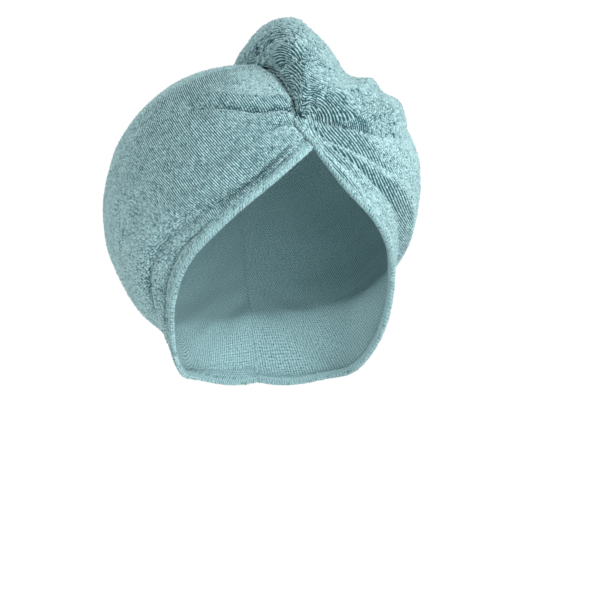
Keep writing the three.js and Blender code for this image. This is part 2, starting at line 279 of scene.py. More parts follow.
underPanel = {
    "side": "left",
    "folds": [
        (0.075, 0.47, 0.83, 0.44, 5, 2.6, -4.8),
        (0.075, 0.46, 0.95, 0.485, 4, 7, 3.2),
        (0.05, 0.5, 0.7, 0.2, 2.9, 6.5, -3.3),
        (0.04, 0.4, 0.62, 0.15, 3.2, 9, 2),
        (0.045, 0.7, 0.55, 0.085, 10, 3.2, -4.6),
        (0.3, 0.7, 0.085, 0.065, 1, 5, 3),
        (0.32, 0.68, 0.045, 0.03, 1, 2.4, -2.4),
    ],
    "hemCrease": 2.3,
    "ribAxis": (-0.63, 0.32, -0.71),
    "wrinkle": 0.55,
    "hemWidth": 8,
    "seed": 3,
    "tuft": 1.0,
    "flat": (0.3, 0.33),
    "area": 0.07,
}
overPanel = {
    "side": "right",
    "folds": [
        (0.08, 0.42, 0.42, 0.17, 2.6, 4.5, -3.1),
        (0.1, 0.44, 0.36, 0.14, 2.6, 6, 1.5),
        (0.16, 0.46, 0.26, 0.095, 2.8, 4.5, -2.6),
    ],
    "hemCrease": 0.6,
    "ribAxis": (-0.82, 0.15, -0.55),
    "wrinkle": 0.5,
    "hemWidth": 4.2,
    "seed": 4,
    "tuft": 1.08,
    "flat": (0.3, 0.33),
    "area": 0.062,
}

knotShare = lap["length"] / (seam["length"] * meanReach)
lapPart = knotShare * seam["length"]
hemFromPeak = lapPart / (lapPart + hemLine["right"]["length"])


def panelEdges(panel, s):  # the directions of its hem and its seam at s
    if panel["side"] == "left":
        return unit(byLength(hemLine["left"], s)), unit(byLength(seam, s))
    down = byLength(seam, knotShare * (1 - np.minimum(s, hemFromPeak) / hemFromPeak))
    away = byLength(hemLine["right"], np.clip((s - hemFromPeak) / (1 - hemFromPeak), 0, 1))
    hem = np.where((s < hemFromPeak)[..., None], down, away)
    return unit(hem), unit(byLength(seam, mix(knotShare, 1, s)))


# shares of a fold's run over which it comes in, fades out and widens, and how sharp its edge is
foldShape = {"fadeIn": 0.16, "fadeOut": 0.3, "narrow": 0.4, "widens": 0.6, "edge": 1.5}


def foldHeight(folds, s, t, span):
    height = np.zeros(np.broadcast(s, t).shape)
    for row in folds:
        f = dict(zip(foldColumns, row))
        run = (s - f["start"]) / (f["stop"] - f["start"])
        shown = smoothStep(run / foldShape["fadeIn"]) * smoothStep((1 - run) / foldShape["fadeOut"])
        line = mix(f["low"], f["high"], (1 - np.clip(run, 0, 1)) ** f["bend"])
        width = f["width"] * mix(foldShape["narrow"], 1, smoothStep(run / foldShape["widens"]))
        away = np.abs((t - line) * span / width)
        height += f["depth"] * shown * np.exp(-(away ** foldShape["edge"]))
    return height


# the cloth dips beside the tail's left edge, which throws the dark gap up to the crown
dip = {
    "depth": 3.4,
    "width": 3.6,
    "route": [(5.2, 27), (5, 33), (4, 41), (2, 51), (0.5, 64), (-2, 79)],  # tilt and pitch
}
dipLine = makeLine([direction(*place) for place in dip["route"]])
dipDirections = unit(byLength(dipLine, shares))


# wrinkles all over, and the crease beside the hem: rates along the hem, the rest in mm or shares
drape = {
    "clear": 4,
    "fade": 6,
    "fineRate": 5,
    "fineLength": 17,
    "fineEnd": 1.1,
    "broadRate": 6,
    "broadLength": 60,
    "broad": 1.2,
    "easeFrom": 0.08,
    "easeOver": 0.25,
    "eased": 0.7,
    "creaseGap": 0.8,
    "creaseWidth": 1.3,
}


def panelPlace(panel, s, t):  # s runs along the hem down to the nape, t from hem to seam
    hem, top = panelEdges(panel, s)
    d, span = turned(hem, top, t)
    fromHem, fromSeam = t * span, (1 - t) * span
    shown = smoothStep((fromHem - drape["clear"]) / drape["fade"]) * smoothStep(fromSeam / drape["fade"])
    folds = foldHeight(panel["folds"], s, t, span)
    fine = softNoise(s * drape["fineRate"], t * span / drape["fineLength"], panel["seed"])
    fine = fine * smoothStep(drape["fineEnd"] - s)
    broad = softNoise(s * drape["broadRate"], t * span / drape["broadLength"], panel["seed"] + 10)
    height = folds + panel["wrinkle"] * (fine + drape["broad"] * broad)
    eased = smoothStep((s - drape["easeFrom"]) / drape["easeOver"])
    crease = panel["hemCrease"] * (1 - drape["eased"] * eased)
    offCrease = (fromHem - panel["hemWidth"] - drape["creaseGap"]) / drape["creaseWidth"]
    crease = crease * np.exp(-(offCrease**2))
    radius = plainRadius(d) - pile["deep"] + height * shown - crease
    radius = radius - dip["depth"] * np.exp(-((lengthTo(dipDirections, d) / dip["width"]) ** 2))
    if panel["side"] == "right":
        radius = radius + lapHeight(d)
    return d, span, radius


def at(d, radius):
    return hoodCentre + d * np.asarray(radius)[..., None]


# the twisted tail: left and right edges as (tilt, pitch), and shares of the sizes above them
tail = {
    "height": 32.3,
    "peak": 25.5,
    "spread": 70,
    "steepness": 0.93,
    "shoulder": 5,
    "edge": 0.8,
    "edgeFade": 18,
    "sink": 2.4,
    "sinkWidth": 9,
    "gap": 0.5,
    "columns": 300,
    "rows": 112,
    "crowding": 1.15,
    "clothWidth": 90,
    "edgeFadeShare": 0.55,
    "sinkFrom": 0.3,
    "foldsFrom": 2,
    "alongStep": 0.01,
    "readings": 600,
    "readAcross": 0.35,
    "perPlace": 5,
    "drawnEdge": 1.7,
    "sections": [  # left, right, peak, spread, height, shoulder
        ((5.2, 28), (7.5, 27), 0.08, 0.14, 0.08, 0.3),
        ((5, 33), (11.5, 27.5), 0.22, 0.45, 0.22, 0.6),
        ((4.2, 41), (17, 25.5), 0.33, 0.72, 0.38, 0.8),
        ((2.5, 51), (24.5, 21.8), 0.49, 0.92, 0.54, 1),
        ((1, 64), (33, 20.2), 0.69, 1, 0.74, 1.1),
        ((-1.5, 79), (44.5, 24.5), 0.85, 1.0, 0.94, 1.2),
        ((-3.5, 93), (55, 36.5), 0.94, 1.0, 1, 1.2),
        ((-6, 108), (60, 60), 0.95, 0.93, 0.94, 1),
        ((-8, 125), (54, 92), 0.92, 0.8, 0.84, 0.8),
        ((-9.5, 145), (38, 128), 0.88, 0.64, 0.74, 0.7),
        ((-10, 165), (24, 158), 0.82, 0.48, 0.66, 0.6),
        ((-10, 187), (15, 186), 0.76, 0.36, 0.56, 0.5),
        ((-9, 208), (10, 208), 0.6, 0.27, 0.44, 0.5),
        ((-7, 226), (7, 226), 0.45, 0.2, 0.28, 0.5),
    ],
    # creases and ridges on it: width mm, rise mm, fade in, fade out, (section, share across) ...
    "drawn": [
        (3, -4, 0.02, 0.3, (3.28, 0), (3.07, 0.022), (2.99, 0.064), (3.12, 0.17), (3.4, 0.24)),
        (6, 3, 0.1, 0.4, (3.9, 0.004), (3.7, 0.04), (3.6, 0.1), (3.75, 0.17), (4.1, 0.25)),
        (1.9, -4, 0.02, 0.1, (4.49, 0), (4.64, 0.0005), (4.77, 0.003), (4.9, 0.007), (5, 0.013)),
        (1.5, -2.2, 0.1, 0.5, (5, 0.013), (4.77, 0.021), (4.52, 0.033), (4.3, 0.05)),
        (1.5, -1.8, 0.3, 0.5, (5.35, 0.017), (5.05, 0.032), (4.8, 0.05), (4.6, 0.07)),
        (3.2, -5, 0.02, 0.2, (5.1, 0), (5.33, 0.002), (5.49, 0.006), (5.69, 0.012), (5.79, 0.019)),
        (1.6, -2, 0.1, 0.1, (6.5, 0.001), (6.07, 0.0005), (5.6, 0.0005)),
        (1.6, -2, 0.1, 0.1, (6.29, 0.008), (5.89, 0.004), (5.6, 0.003)),
        (6, 2.2, 0.5, 0.1, (2, 0.93), (3.28, 0.88), (4.12, 0.877), (5.7, 0.834), (6.6, 0.82)),
        (6, 4, 0.7, 0.1, (1.23, 0.456), (2.43, 0.62), (3.86, 0.64), (5.4, 0.67), (6.43, 0.69), (7, 0.7)),
    ],
    "wind": {
        "first": 6.9,
        "step": 0.92,
        "slant": 1.1,
        "width": 4.8,
        "depth": 2.6,
        "growth": 1.5,
        "early": 0.6,
        "edge": 1.5,
    },
    "wander": [(0.5, 0.35, 7, 21), (0.4, 1.1, 2.5, 22)],  # rise mm, rate along, rate across, seed
    # a rib slants along the tail, steepest at the left edge: sections, and over what share across
    "slant": 1.6,
    "slantShare": 0.1,
    "backDrift": 1.7,
    "backFrom": 0.2,
    "backOver": 0.65,
    "ribScale": 1.12,
    "closest": 0.76,
}
tailLeft = makeLine([direction(*row[0]) for row in tail["sections"]])
tailRight = makeLine([direction(*row[1]) for row in tail["sections"]])
tailLast = len(tail["sections"]) - 1
sectionLength = tailLeft["length"] * meanReach / tailLast


def tailColumn(u, column):  # a number between the rows of the table, on a smooth curve
    y = np.array([row[column] for row in tail["sections"]])
    slope = np.gradient(y)
    k = np.clip(np.floor(u).astype(int), 0, tailLast - 1)
    f = np.clip(u - k, 0, 1)
    bend = f * (1 - f) * ((1 - f) * slope[k] - f * slope[k + 1])
    return mix(y[k], y[k + 1], f * f * (3 - 2 * f)) + bend


def tailForm(u, across):  # u counts the sections from knot to nape, across runs left to right
    left, right = (unit(byRow(line, u / tailLast)) for line in (tailLeft, tailRight))
    d, total = turned(left, right, across)
    x = across * total
    peak = tail["peak"] * tailColumn(u, 2)
    spread = tail["spread"] * tailColumn(u, 3)
    up = np.clip((peak - x) / peak, 0, 1)
    down = np.clip((x - peak) / spread, 0, 1) ** tail["steepness"]
    rope = np.where(x < peak, np.sqrt(1 - up * up), 0.5 + 0.5 * np.cos(np.pi * down))
    high = tail["height"] * tailColumn(u, 4) * rope
    wide = tail["shoulder"] * tailColumn(u, 5) * smoothStep(x / peak)
    fade = smoothStep((total - x) / np.minimum(tail["edgeFade"], tail["edgeFadeShare"] * total))
    form = np.cbrt(high**3 + wide**3) * fade
    sink = tail["sink"] * smoothStep(1 - (total - x) / tail["sinkWidth"]) * smoothStep(u - tail["sinkFrom"])
    seat = plainRadius(d) - pile["deep"] + lapHeight(d) + tail["gap"] - sink
    return at(d, seat), at(d, seat + tail["edge"] + form), form


def drawnRise(p):  # from each place to the nearest point of every drawn line
    rise = np.zeros(p.shape[:-1])
    for width, height, fadeIn, fadeOut, *places in tail["drawn"]:
        row = byRow(makeLine(places), np.linspace(0, 1, tail["perPlace"] * len(places)))
        line = tailForm(row[:, 0], row[:, 1])[1]
        least = np.full(rise.shape, 1e9)
        run = np.zeros(rise.shape)
        for i, (a, b) in enumerate(zip(line, line[1:])):
            step = b - a
            share = np.clip((p - a) @ step / (step @ step), 0, 1)
            away = np.linalg.norm(p - a - share[..., None] * step, axis=-1)
            run = np.where(away < least, (i + share) / (len(line) - 1), run)
            least = np.minimum(away, least)
        shown = smoothStep(run / fadeIn) * smoothStep((1 - run) / fadeOut)
        rise += height * shown * np.exp(-((least / width) ** tail["drawnEdge"]))
    return rise


def outward(normal, p):  # a whole grid of normals, turned together to face away from the hood
    return unit(normal) * np.sign(((p - hoodCentre) * unit(normal)).sum())


def tailPlace(u, across):  # seat and outer face, the folds standing off square to the plain form
    seat, plain, form = tailForm(u, across)
    along = tailForm(u + tail["alongStep"], across)[1] - plain
    sign = np.where(across > 0.5, -1, 1)
    sideways = (tailForm(u, across + sign * nudge)[1] - plain) * sign[..., None]
    normal = outward(np.cross(sideways, along), plain)
    wind = tail["wind"]
    phase = (u - wind["slant"] * across - wind["first"]) / wind["step"]
    away = np.abs(phase - np.round(phase)) * wind["step"] * sectionLength / wind["width"]
    grown = smoothStep(phase * wind["growth"] + wind["early"])
    folds = drawnRise(plain) - wind["depth"] * grown * np.exp(-(away ** wind["edge"]))
    for rise, rateAlong, rateAcross, seed in tail["wander"]:
        folds = folds + rise * softNoise(u * rateAlong, across * rateAcross, seed)
    return seat, plain + normal * (folds * smoothStep(form / tail["foldsFrom"]))[..., None]


# meshes

def buildMesh(name, points, faces, uv=None, toneAndShade=None, part=None):
    mesh = bpy.data.meshes.new(name)
    faces = np.asarray(faces, np.int32)
    mesh.vertices.add(len(points))
    mesh.vertices.foreach_set("co", (np.asarray(points) * mm).astype(np.float32).ravel())
    mesh.loops.add(faces.size)
    mesh.loops.foreach_set("vertex_index", faces.ravel())
    mesh.polygons.add(len(faces))
    mesh.polygons.foreach_set("loop_start", np.arange(0, faces.size, faces.shape[1], dtype=np.int32))
    if part is not None:
        mesh.polygons.foreach_set("material_index", np.asarray(part, np.int32))
    mesh.update(calc_edges=True)
    mesh.validate()
    mesh.shade_smooth()
    if uv is not None:
        layer = mesh.uv_layers.new(name="cloth")
        layer.uv.foreach_set("vector", np.asarray(uv)[faces.ravel()].astype(np.float32).ravel())
    if toneAndShade is not None:
        mesh.attributes.new("toneAndShade", "FLOAT", "POINT").data.foreach_set("value", toneAndShade.astype(np.float32))
    piece = bpy.data.objects.new(name, mesh)
    bpy.context.scene.collection.objects.link(piece)
    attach(piece, "root")
    return piece


def ringShell(name, rings, uv, part=None):  # rings of points, first half outside, closed at both ends
    columns, rows = rings.shape[:2]
    i, j = np.meshgrid(np.arange(columns - 1), np.arange(rows), indexing="ij")
    nextJ = (j + 1) % rows
    side = np.stack([i * rows + j, (i + 1) * rows + j, (i + 1) * rows + nextJ, i * rows + nextJ], -1)
    side = side.reshape(-1, 4)
    j = np.arange(rows // 2 - 1)
    first = np.stack([j, j + 1, rows - 2 - j, rows - 1 - j], -1)
    last = first[:, ::-1] + (columns - 1) * rows
    faces = np.concatenate([side, first, last])
    points = rings.reshape(-1, 3)
    a, b, c, d = (points[side[:, k]] - points.mean(0) for k in range(4))
    if (a * np.cross(b, c)).sum() + (a * np.cross(c, d)).sum() < 0:
        faces = faces[:, ::-1]
    slots = None
    if part is not None:
        slots = np.concatenate([np.tile(part, columns - 1), np.zeros(len(first) + len(last), int)])
    return buildMesh(name, points, faces, uv.reshape(-1, 2), part=slots)


def closedShell(name, outer, inner, uv):  # outer and inner faces on the same grid
    half = outer.shape[1]
    rings = np.concatenate([outer, inner[:, ::-1]], axis=1)
    return ringShell(name, rings, np.concatenate([uv, uv[:, ::-1]], axis=1), np.arange(2 * half) >= half)


def panelRib(panel, d):  # which rib a place lies on, counted round the panel's rib axis
    return np.arccos(np.clip(d @ unit(np.array(panel["ribAxis"])), -1, 1)) * meanReach / pile["ribPitch"]


shell = {"columns": 230, "rows": 118, "crowding": 1.2, "start": 0.004, "groove": 0.8, "grooveWidth": 3}


def panelShell(name, panel):
    s = mix(shell["start"], 1, np.linspace(0, 1, shell["columns"])[:, None] ** shell["crowding"])
    t = np.linspace(0, 1, shell["rows"])[None, :]
    s, t = np.broadcast_arrays(s, t)
    d, span, radius = panelPlace(panel, s, t)
    radius = radius - shell["groove"] * smoothStep(1 - (1 - t) * span / shell["grooveWidth"])
    uv = np.stack([panelRib(panel, d) * pile["ribPitch"], t * span], -1)
    return closedShell(name, at(d, radius), at(d, radius - hood["wall"]), uv)


underShell = panelShell("left_panel", underPanel)
overShell = panelShell("right_panel", overPanel)
print("panels", len(underShell.data.polygons), len(overShell.data.polygons))

# turned hems, rolled round the panels' edges, with a row of overlock thread over each
hem = {
    "thickness": 1.1,
    "overhang": 0.6,
    "square": 3,
    "columns": 380,
    "around": 24,
    "room": 0.7,
    "lapShare": 0.25,
    "lapGrowth": 1.6,
    "lapStart": 0.6,
    "start": 0.004,
    "puff": 0.1,
    "puffs": 60,
    "seed": 31,
    "stretch": 1.12,
    "overEdge": 3,
}


def hemLength(panel):
    return hemLine[panel["side"]]["length"] * meanReach


def hemProfile(panel, around):  # distance in from the edge and height off the middle of the cloth
    a = (panel["hemWidth"] + hem["overhang"]) / 2
    b = hood["wall"] / 2 + hem["thickness"]
    power = 2 / hem["square"]
    c, s = np.cos(around), np.sin(around)
    x = a - hem["overhang"] + a * np.sign(c) * np.abs(c) ** power
    return x, b * np.sign(s) * np.abs(s) ** power


def hemPlace(panel, s, x, height):
    edge, top = panelEdges(panel, s)
    _, span = turned(edge, top, 0 * s)
    room = np.minimum(1, hem["room"] * span / panel["hemWidth"])
    if panel["side"] == "right":
        grown = smoothStep(s / hemFromPeak * hem["lapGrowth"] - hem["lapStart"])
        room = room * mix(hem["lapShare"], 1, grown)
    d, _, radius = panelPlace(panel, s, x * room / span)
    return at(d, radius - hood["wall"] / 2 + height)


def hemFace(panel):  # places on the rolled hem, by the share along it and the angle round it
    def place(s, around):
        x, height = hemProfile(panel, around)
        return hemPlace(panel, s, x, height)

    return place


def hemPiece(name, panel):
    s = np.linspace(hem["start"], 1, hem["columns"])[:, None]
    around = np.linspace(0, 2 * np.pi, hem["around"], endpoint=False)[None, :] + np.pi / hem["around"]
    s, around = np.broadcast_arrays(s, around)
    x, height = hemProfile(panel, around)
    puff = 1 + hem["puff"] * softNoise(s * hem["puffs"], 0 * s, hem["seed"])
    uv = np.stack([s * hemLength(panel) * hem["stretch"], x + hem["overEdge"] * height], -1)
    return ringShell(name, hemPlace(panel, s, x, height * puff), uv)


underHem = hemPiece("left_hem", underPanel)
overHem = hemPiece("right_hem", overPanel)
print("hems", len(underHem.data.polygons), len(overHem.data.polygons))


def ribDrift(across):  # in sections, from where a rib starts to where it lies
    behind = tail["backDrift"] * smoothStep((across - tail["backFrom"]) / tail["backOver"])
    return tail["slant"] * np.exp(-across / tail["slantShare"]) + behind


def tailSteps(step):  # sections at equal steps along the tail's outer face
    u = np.linspace(0, tailLast, tail["readings"])
    p = tailForm(u, np.full(tail["readings"], tail["readAcross"]))[1]
    run = np.r_[0, np.cumsum(np.linalg.norm(np.diff(p, axis=0), axis=1))]
    return u, run, np.interp(np.arange(0, run[-1], step), run, u)


def tailShell(name):
    u = tailLast * np.linspace(0, 1, tail["columns"])[:, None] ** tail["crowding"]
    across = 0.5 - 0.5 * np.cos(np.pi * np.linspace(0, 1, tail["rows"]))[None, :]
    u, across = np.broadcast_arrays(u, across)
    seat, top = tailPlace(u, across)
    places, run, _ = tailSteps(1)
    uv = np.stack([np.interp(u - ribDrift(across), places, run), across * tail["clothWidth"]], -1)
    return closedShell(name, top, seat, uv)


tailPiece = tailShell("wound_tail")
print("tail", len(tailPiece.data.polygons))


def growPile(name, foot, normal, rib, size=1.0, darker=0.0):  # a tuft on each place, along the rib
    count = len(foot)
    side = unit(np.cross(rib, normal))
    turn = chance.normal(0, pile["turn"], count)[:, None]
    rib, side = np.cos(turn) * rib + np.sin(turn) * side, np.cos(turn) * side - np.sin(turn) * rib
    half = size * pile["length"] / 2 * chance.uniform(*pile["lengths"], (count, 1))
    wide = size * pile["width"] / 2 * chance.uniform(*pile["widths"], (count, 1))
    rise = size * pile["height"] * np.clip(chance.normal(1, pile["uneven"], (count, 1)), *pile["rises"])
    lean = chance.normal(0, pile["lean"], (count, 1)) * side
    lean = lean + chance.normal(0, pile["leanAlong"], (count, 1)) * rib
    base = foot - pile["sunk"] * normal
    corners = [base + sign * half * rib + hand * wide * side for sign in (-1, 1) for hand in (-1, 1)]
    ridge = [foot + rise * normal + lean + sign * pile["ridge"] * half * rib for sign in (-1, 1)]
    points = np.stack([*corners, *ridge], 1).reshape(-1, 3)
    pattern = np.array([[0, 1, 4], [2, 5, 3], [0, 4, 5], [0, 5, 2], [1, 3, 5], [1, 5, 4]])
    faces = (np.arange(count)[:, None, None] * 6 + pattern).reshape(-1, 3)
    # each tuft gets a random tone, shifted by the darker offset; its base is coloured dark and its ridge
    # light: painted shade between the loops, painted light on their tops
    each = chance.normal(darker, pile["tones"], count)
    shade = np.stack([each, each, each, each, each + 1, each + 1], 1).ravel()
    return buildMesh(name, points, faces, toneAndShade=shade)


def frameAt(place, u, v, stepU, stepV):  # foot, outward normal and the way along stepU, stepV
    foot = place(u, v)
    along = unit(place(u + stepU, v + stepV) - foot)
    normal = outward(np.cross(along, place(u + 2 * nudge, v) - foot), foot)
    return foot, normal, along


# a coarse grid over the panel finds each place, and a few rounds of small steps bring it home
search = {"columns": 130, "rows": 60, "parts": 12, "rounds": 5, "step": 1e-4, "mostS": 0.02, "mostT": 0.04}


def findPlace(panel, d):  # where on the panel each direction lies
    s = np.linspace(0, 1, search["columns"])[:, None]
    t = np.linspace(0, 1, search["rows"])[None, :]
    edge, top = panelEdges(panel, s + 0 * t)
    known = turned(edge, top, t + 0 * s)[0].reshape(-1, 3).astype(np.float32)
    parts = np.array_split(d.astype(np.float32), search["parts"])
    nearest = np.concatenate([(known @ part.T).argmax(0) for part in parts])
    u, v = s[nearest // search["rows"], 0], t[0, nearest % search["rows"]]
    step, mostS, mostT = search["step"], search["mostS"], search["mostT"]

    def way(u, v):
        edge, top = panelEdges(panel, u)
        return turned(edge, top, v)[0]

    for _ in range(search["rounds"]):
        here = way(u, v)
        alongU, alongV = (way(u + step, v) - here) / step, (way(u, v + step) - here) / step
        miss = d - here
        a, b, c = ((x * y).sum(-1) for x, y in ((alongU, alongU), (alongU, alongV), (alongV, alongV)))
        p, q = (alongU * miss).sum(-1), (alongV * miss).sum(-1)
        size = np.maximum(a * c - b * b, 1e-9)
        u = np.clip(u + np.clip((c * p - b * q) / size, -mostS, mostS), 0, 1)
        v = np.clip(v + np.clip((a * q - b * p) / size, -mostT, mostT), 0, 1)
    return u, v, np.linalg.norm(d - way(u, v), axis=-1) * meanReach


panelRibs = {"jitter": 0.08, "fewest": 3, "miss": 0.3, "clear": 0.005, "underHem": 0.85}


def panelPile(name, panel):  # along each rib in turn, at equal steps
    axis = unit(np.array(panel["ribAxis"]))
    first = unit(np.cross(axis, (0, 0, 1)))
    second = np.cross(axis, first)
    ways = []
    for angle in np.arange(pile["ribPitch"] / 2, np.pi * meanReach, pile["ribPitch"]) / meanReach:
        count = int(2 * np.pi * np.sin(angle) * meanReach / pile["loopPitch"])
        count = max(count, panelRibs["fewest"])
        places = np.arange(count) + chance.uniform(0, 1) + chance.normal(0, panelRibs["jitter"], count)
        bearing = (places * 2 * np.pi / count)[:, None]
        circle = np.cos(bearing) * first + np.sin(bearing) * second
        ways.append(np.cos(angle) * axis + np.sin(angle) * circle)
    s, t, miss = findPlace(panel, np.concatenate(ways))
    edge, top = panelEdges(panel, s)
    inside = (miss < panelRibs["miss"]) & (s > panelRibs["clear"])
    inside &= t * turned(edge, top, t)[1] > panel["hemWidth"] * panelRibs["underHem"]
    s, t = s[inside], t[inside]

    def place(s, t):
        d, _, radius = panelPlace(panel, s, t)
        return at(d, radius)

    foot, normal, _ = frameAt(place, s, t, 0, nudge)
    d = unit(foot - hoodCentre)
    along = unit(np.cross(normal, axis - (d @ axis)[:, None] * d))
    return growPile(name, foot, normal, along, panel["tuft"])


# the tail's ribs start at equal parts of their pitch, and only some go on where they crowd
tailRibs = {
    "parts": 4,
    "before": 240,
    "after": 160,
    "places": 170,
    "crowding": 1.5,
    "clearKnot": 0.05,
    "clearEnd": 0.02,
    "topLevel": 32,
    "firstTuft": (0.1, 1.5),
    "leastSpace": 0.1,
    "fill": 1.12,
    "sizes": (0.9, 1.7),
    # painted shade: every tuft on the tail is coloured darker, for the deeper shade of the wound rope
    "darker": -0.13,
}


def tailPile(name):
    pitch = pile["ribPitch"] * tail["ribScale"]
    starts = tailSteps(pitch / tailRibs["parts"])[2]
    before = starts[0] - np.arange(tailRibs["before"], 0, -1) * (starts[1] - starts[0])
    after = starts[-1] + np.arange(1, tailRibs["after"]) * (starts[-1] - starts[-2])
    starts = np.concatenate([before, starts, after])
    across = np.linspace(0.001, 0.998, tailRibs["places"]) ** tailRibs["crowding"]
    rib = starts[:, None] + ribDrift(across)
    inside = (rib > tailRibs["clearKnot"]) & (rib < tailLast - tailRibs["clearEnd"])
    p = tailPlace(np.clip(rib, 0, tailLast), across + 0 * rib)[1]
    along = np.gradient(p, axis=1)
    apart = np.linalg.norm(np.cross(np.gradient(p, axis=0), unit(along)), axis=-1)
    top = tailRibs["topLevel"]
    u, v, size = [], [], []
    for i, start in enumerate(starts):
        level = min(i & -i or top, top)  # the power of two in its number: a high one goes on longest
        if not inside[i].any():
            continue
        run = np.r_[0, np.cumsum(np.linalg.norm(np.diff(p[i], axis=0), axis=1))]
        first = chance.uniform(*tailRibs["firstTuft"])
        steps = np.arange(first, run[-1], pile["loopPitch"] * tail["ribScale"])
        over = np.interp(steps, run, across)
        space = np.interp(steps, run, apart[i]) / pitch
        keep = (level * space > tail["closest"]) & (np.interp(steps, run, inside[i]) > 0.5)
        # how many of the fine steps lie between the ribs that stay here
        least = np.maximum(space[keep], tailRibs["leastSpace"])
        stay = np.clip(2 ** np.ceil(np.log2(tail["closest"] / least)), 1, top)
        u.append(start + ribDrift(over[keep]))
        v.append(over[keep])
        size.append(np.clip(tailRibs["fill"] * space[keep] * stay, *tailRibs["sizes"]))
    u, v, size = np.concatenate(u), np.concatenate(v), np.concatenate(size)[:, None]

    def place(a, b):
        return tailPlace(a, b)[1]

    slant = ribDrift(v + nudge) - ribDrift(v)
    return growPile(name, *frameAt(place, u, v, slant, nudge), size, tailRibs["darker"])


hemRibs = {
    "along": (0.006, 0.996),
    "around": (0.12, 0.95),
    "rowPitch": 1.2,
    "jitter": 0.0005,
    "tuft": 0.8,
}


def hemPile(name, panel):
    ribs = np.linspace(*hemRibs["along"], int(hemLength(panel) / pile["ribPitch"]))
    around = np.linspace(*hemRibs["around"], int(panel["hemWidth"] / hemRibs["rowPitch"])) * np.pi
    u, v = (x.ravel() for x in np.meshgrid(ribs, around, indexing="ij"))
    u = u + chance.normal(0, hemRibs["jitter"], len(u))
    return growPile(name, *frameAt(hemFace(panel), u, v, 0, nudge), hemRibs["tuft"])


# the overlock thread: a short bar over the hem's edge for each stitch
thread = {
    "pitch": 2.35,
    "radius": 0.3,
    "from": 0.5,
    "to": 1.06,
    "slant": 0.6,
    "lift": 0.35,
    "sides": 5,
    "rings": 7,
    "along": (0.006, 0.994),
    "ends": (0.04, 0.96),
    "taper": 0.4,
    "roughness": 0.7,
}


def stitches(name, panel):
    length = hemLength(panel)
    count = int(length / thread["pitch"])
    middle = (np.arange(count) + 0.5) / count
    share = np.linspace(0, 1, thread["rings"])
    s = middle[:, None] + thread["slant"] / length * (share - 0.5) + 0 * share
    around = np.pi * mix(thread["from"], thread["to"], share) + 0 * s
    s = np.clip(s, *thread["along"])
    foot, normal, along = frameAt(hemFace(panel), s.ravel(), around.ravel(), 0, nudge)
    side = np.cross(normal, along)
    turn = np.linspace(0, 2 * np.pi, thread["sides"], endpoint=False)
    reach = np.sin(np.pi * np.clip(share, *thread["ends"])) ** thread["taper"]
    centre = foot + normal * np.tile(thread["lift"] * reach, count)[:, None]
    ring = np.cos(turn)[:, None] * side[:, None, :] + np.sin(turn)[:, None] * normal[:, None, :]
    rings = centre[:, None, :] + thread["radius"] * np.tile(reach, count)[:, None, None] * ring
    rows, sides = len(share), thread["sides"]
    k, i, j = np.meshgrid(np.arange(count), np.arange(rows - 1), np.arange(sides), indexing="ij")
    start = (k * rows + i) * sides
    nextJ = (j + 1) % sides
    quads = np.stack([start + j, start + nextJ, start + sides + nextJ, start + sides + j], -1).reshape(-1, 4)
    return buildMesh(name, rings.reshape(-1, 3), quads)


threads = [stitches("left_thread", underPanel), stitches("right_thread", overPanel)]
print("thread", [len(t.data.polygons) for t in threads])

piles = [
    panelPile("left_pile", underPanel),
    panelPile("right_pile", overPanel),
    tailPile("tail_pile"),
    hemPile("left_hem_pile", underPanel),
    hemPile("right_hem_pile", overPanel),
]
print("pile", [len(p.data.polygons) for p in piles])

# finishes
# terry colours: light and dark are the ends of each tuft's colour, painted light on the ridges and painted
# shade at the bases; the ground colour is painted shade on the cloth under the pile; the dark end of the
# inner faces' pattern is painted shade in its dips; thread is the thread's own colour
terry = {
    "light": (0.45, 0.67, 0.69),
    "dark": (0.025, 0.09, 0.108),
    "shadedGround": (0.045, 0.12, 0.14),
    "hollowShade": (0.05, 0.15, 0.175),
    "thread": (0.36, 0.58, 0.6),
    "roughness": 0.95,
    "specular": 0.1,
    "sheen": 0.06,
    "sheenRoughness": 0.5,
    "bump": 0.0006,
}
elastic = {"colour": (0.2, 0.36, 0.39), "roughness": 0.8}
patches = {"scale": 60, "detail": 3, "spread": 0.16}  # lighter and darker areas of the pile
# the pattern under the pile and on the inner faces, its dips coloured darker as painted shade: how far it
# wanders, then the share of each part
weave = {"wobble": 0.35, "swing": 6.0, "speck": 0.9, "detail": 3, "ribs": 0.22, "loops": 0.12, "specks": 1.2}


def newMaterial(name, roughness, sheen=0.0):
    material = bpy.data.materials.new(name)
    material.use_nodes = True
    shader = material.node_tree.nodes["Principled BSDF"]
    shader.inputs["Roughness"].default_value = roughness
    shader.inputs["Specular IOR Level"].default_value = terry["specular"]
    shader.inputs["Sheen Weight"].default_value = sheen
    shader.inputs["Sheen Roughness"].default_value = terry["sheenRoughness"]
    return material, shader


def addNode(material, kind, **settings):
    node = material.node_tree.nodes.new(kind)
    for key, value in settings.items():
        setattr(node, key, value)
    return node


def join(material, output, socket):
    material.node_tree.links.new(output, socket)


def calculate(material, operation, *values):
    node = addNode(material, "ShaderNodeMath", operation=operation)
    for socket, value in zip(node.inputs, values):
        if isinstance(value, (int, float)):
            socket.default_value = value
        else:
            join(material, value, socket)
    return node.outputs[0]


def blendColour(material, share, low, high):
    node = addNode(material, "ShaderNodeMix", data_type="RGBA")
    join(material, share, node.inputs[0])
    for socket, value in ((node.inputs[6], low), (node.inputs[7], high)):
        if isinstance(value, tuple):
            socket.default_value = (*value, 1)
        else:
            join(material, value, socket)
    return node.outputs[2]


